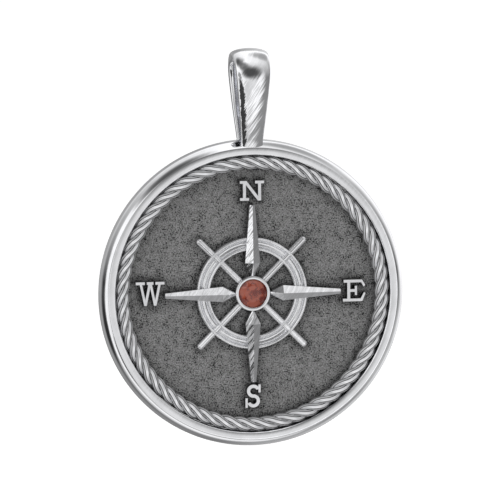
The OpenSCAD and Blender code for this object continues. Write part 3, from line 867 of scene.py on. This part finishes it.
# The white boxes and black flags of each wall.
left_wall = wall_tones([(-0.8, FRONT_TONE), (-0.6, 1.1), (-0.1, 1.05), (0.06, 0.05), (0.34, 0.03),
                        (0.64, 0.42)])
right_wall = wall_tones([(-0.88, FRONT_TONE), (-0.7, 0.22), (-0.2, 0.22), (-0.14, 0.08), (0.02, 0.08),
                         (0.17, 0.35), (0.42, 0.95), (0.6, 1.1)])
ceiling = wall_tones([(-0.8, FRONT_TONE), (-0.6, 0.95), (-0.4, 1.15), (0.6, 1.15), (0.72, 0.35)])
ground = wall_tones([(-0.975, FRONT_TONE), (-0.94, 1.15), (-0.865, 1.15), (-0.77, 0.35), (-0.2, 0.35),
                     (-0.13, 1.1), (0.1, 1.0), (0.25, 0.3), (0.55, 0.2)])


def wall_share(axis, sign):
    """How much a direction leans to one wall."""
    return math_node(sky, "MAXIMUM", math_node(sky, "MULTIPLY", axis, sign), 0.0)


tone = None
total = None
walls = ((left_wall, "X", -1.0), (right_wall, "X", 1.0), (ceiling, "Z", 1.0), (ground, "Z", -1.0))
for wall, axis, sign in walls:
    share = wall_share(part[axis], sign)
    lit = math_node(sky, "MULTIPLY", share, wall)
    tone = lit if tone is None else math_node(sky, "ADD", tone, lit)
    total = share if total is None else math_node(sky, "ADD", total, share)
tone = math_node(sky, "DIVIDE", tone, math_node(sky, "MAXIMUM", total, 0.0001))
print("studio walls hold white boxes and black flags")

# %% Cards
def on_sphere(azimuth, elevation):
    """The way to a card, in degrees from straight ahead: to the right and up."""
    a, e = math.radians(azimuth), math.radians(elevation)
    return Vector((math.sin(a) * math.cos(e), -math.cos(a) * math.cos(e), math.sin(e)))


def add_card(tone, azimuth, elevation, radius, edge, card_tone):
    """Hangs a round card with a soft edge in front of the walls."""
    near = add_node(sky, "ShaderNodeVectorMath", {0: toward, 1: on_sphere(azimuth, elevation)},
                    operation="DOT_PRODUCT").outputs["Value"]
    full, none = math.radians(radius), math.radians(radius + edge)
    inside = smooth_step(sky, near, math.cos(none), math.cos(full))
    return mix_float(sky, inside, tone, card_tone)


# Azimuth, elevation, radius and edge in degrees, then the tone. Later cards hang in front.
CARDS = [
    (10, -6, 8, 5, 0.78),  # in the rim's flat face and on the letters
    (-24, 48, 7, 15, 0.22),  # in the east needle's inner point
    (3, 23, 9, 24, 0.08),  # the dark spot on the bail
    (-6, -17, 4, 11, 0.7),  # in the middle of the bail's leg
    (-45, 3, 16, 4, 0.36),  # in the left facets of the needles that point north and south
    (-52, -1, 3, 4, 1.15),  # a small white box for the north needle
    (-37, -26, 18, 2, 0.05),  # the black strip along the bail's left edge
    (-56, -33, 9, 4, 0.05),  # in the north needle's inner point
    (-68, 58, 2, 26, 0.1),  # in the rim at the upper left
    (-106, -20, 7, 13, 0.03),  # in the rim at the left
    (113, 61, 4, 20, 0.38),  # in the rim at the upper right
    (98, -50, 4, 14, 0.3),  # in the rim at the lower right
]
for azimuth, elevation, radius, edge, card_tone in CARDS:
    tone = add_card(tone, azimuth, elevation, radius, edge, card_tone)
seen = sky.nodes.new("ShaderNodeLightPath").outputs["Is Camera Ray"]
tone = mix_float(sky, seen, tone, 1.0)
grey = add_node(sky, "ShaderNodeCombineColor", {"Red": tone, "Green": tone, "Blue": tone})
sky.links.new(grey.outputs[0], background.inputs["Color"])
background.inputs["Strength"].default_value = 1.0
print("grey and black cards hang in the studio, and the camera sees plain white")


# %% Soft lamp
def soft_lamp(name, place, target, size, watts):
    data = bpy.data.lights.new(name, "AREA")
    data.size = size
    data.energy = watts
    lamp = bpy.data.objects.new(name, data)
    lamp.location = place
    lamp.rotation_euler = (Vector(target) - Vector(place)).to_track_quat("-Z", "Y").to_euler()
    lamp.visible_glossy = False
    bpy.context.scene.collection.objects.link(lamp)
    return lamp


middle = Vector((0, 0, -DISC_DROP * MM))
soft_lamp("key_box", (-0.25, -0.3, 0.35), middle, 0.2, 1.2)

# %% Camera
AZIMUTH, ELEVATION, ROLL = math.radians(-10.0), math.radians(6.1), math.radians(0.49)
DISTANCE = 0.4
SENSOR_W, LENS_PIXELS, PICTURE_PIXELS = 36, 4950, 500
FACE_IN_VIEW = Vector((0.304 * MM, -3.565 * MM, -DISTANCE))
right = Vector((math.cos(AZIMUTH), math.sin(AZIMUTH), 0))
back = Vector((math.sin(AZIMUTH) * math.cos(ELEVATION), -math.cos(AZIMUTH) * math.cos(ELEVATION),
               math.sin(ELEVATION)))
up = back.cross(right)
turned_right = right * math.cos(ROLL) - up * math.sin(ROLL)
turned_up = right * math.sin(ROLL) + up * math.cos(ROLL)
look = Matrix((turned_right, turned_up, back)).transposed()
camera_data = bpy.data.cameras.new("camera")
camera_data.sensor_width = SENSOR_W
camera_data.lens = SENSOR_W * LENS_PIXELS / PICTURE_PIXELS
camera_data.clip_start, camera_data.clip_end = 0.01, 100
camera = bpy.data.objects.new("camera", camera_data)
face_middle = Vector((0, -FACE_Z * MM, -DISC_DROP * MM))
camera.matrix_world = Matrix.Translation(face_middle - look @ FACE_IN_VIEW) @ look.to_4x4()
bpy.context.scene.collection.objects.link(camera)
bpy.context.scene.camera = camera
bpy.context.scene.view_settings.view_transform = "Standard"
print("camera is", round((camera.location - face_middle).length, 3), "m away")
